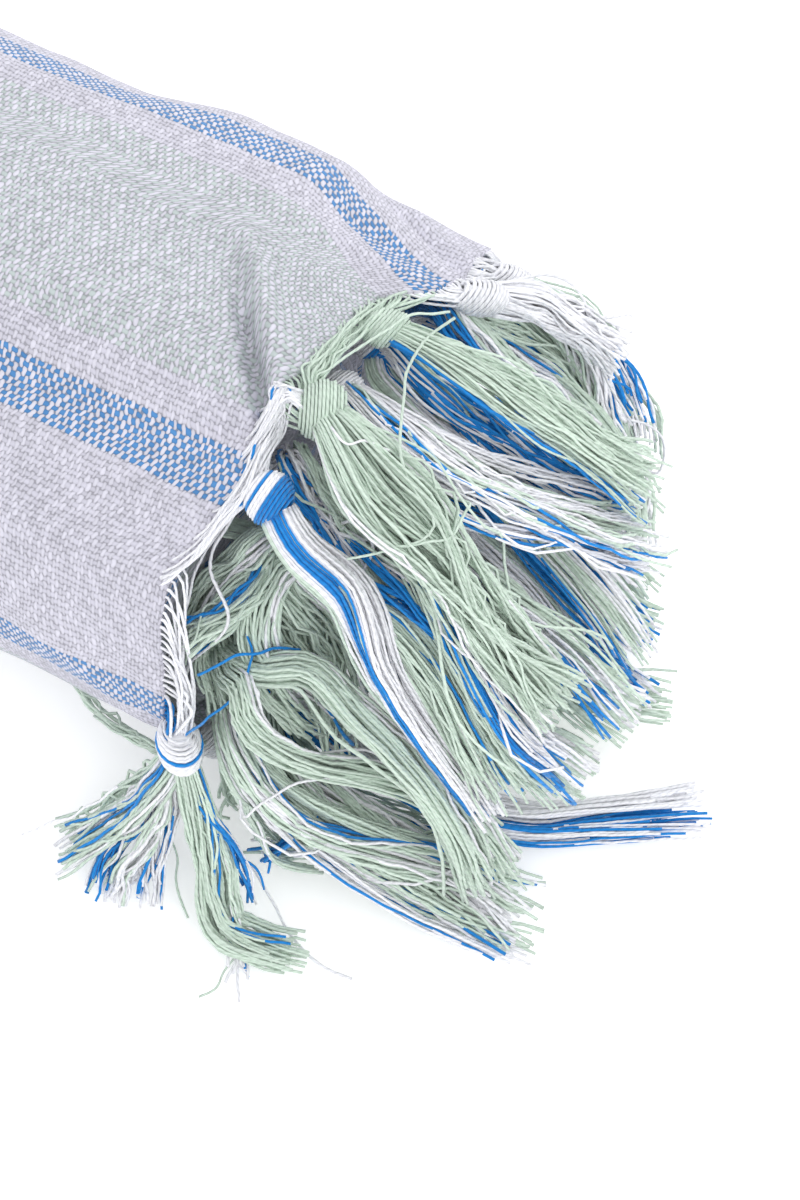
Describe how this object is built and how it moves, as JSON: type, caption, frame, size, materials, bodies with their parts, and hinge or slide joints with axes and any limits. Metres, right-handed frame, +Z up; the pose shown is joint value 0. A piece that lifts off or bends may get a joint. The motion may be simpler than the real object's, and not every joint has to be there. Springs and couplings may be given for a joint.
{
  "type": "fouta towel",
  "caption": "Striped cotton fouta towel, folded and rolled, lying on its side with a knotted, loose-yarn fringe at one end.",
  "frame": {"origin": "Middle of the flat strip of cloth that the roll rests on, half way along the woven cloth.", "axes": "+X runs along the roll towards the fringe, +Z is up, and -Y is the side towards the viewer."},
  "size_m": [0.533, 0.1157, 0.0872],
  "materials": {
    "cloth": "plain-woven cotton, thick white weft over white, sage and blue warp stripes, matt with a faint nap",
    "hidden_layers": "the same plain-woven cotton, seen edge on between the turns of the roll",
    "sage_fringe": "loose two-ply cotton yarns, pale sage green, matt",
    "white_fringe": "loose two-ply cotton yarns, white, matt",
    "mixed_fringe": "loose two-ply cotton yarns, white with bright blue and some sage, matt"
  },
  "bodies": {
    "root": {"outer_wrap": "cloth", "rolled_core": "hidden_layers", "edge_tassel_01": "sage_fringe", "edge_tassel_02": "mixed_fringe", "edge_tassel_03": "sage_fringe", "edge_tassel_04": "sage_fringe", "edge_tassel_05": "white_fringe", "edge_tassel_06": "white_fringe", "edge_tassel_07": "sage_fringe", "edge_tassel_08": "mixed_fringe", "edge_tassel_09": "white_fringe", "edge_tassel_10": "mixed_fringe", "edge_tassel_11": "sage_fringe", "edge_tassel_12": "mixed_fringe", "edge_tassel_13": "white_fringe", "inner_tassel_01": "mixed_fringe", "inner_tassel_02": "mixed_fringe", "inner_tassel_03": "mixed_fringe", "inner_tassel_04": "white_fringe", "inner_tassel_05": "sage_fringe", "inner_tassel_06": "white_fringe", "inner_tassel_07": "sage_fringe", "inner_tassel_08": "sage_fringe", "inner_tassel_09": "sage_fringe", "inner_tassel_10": "sage_fringe", "inner_tassel_11": "white_fringe", "inner_tassel_12": "mixed_fringe", "inner_tassel_13": "mixed_fringe", "inner_tassel_14": "sage_fringe", "inner_tassel_15": "white_fringe", "inner_tassel_16": "mixed_fringe"}
  },
  "joints": []
}
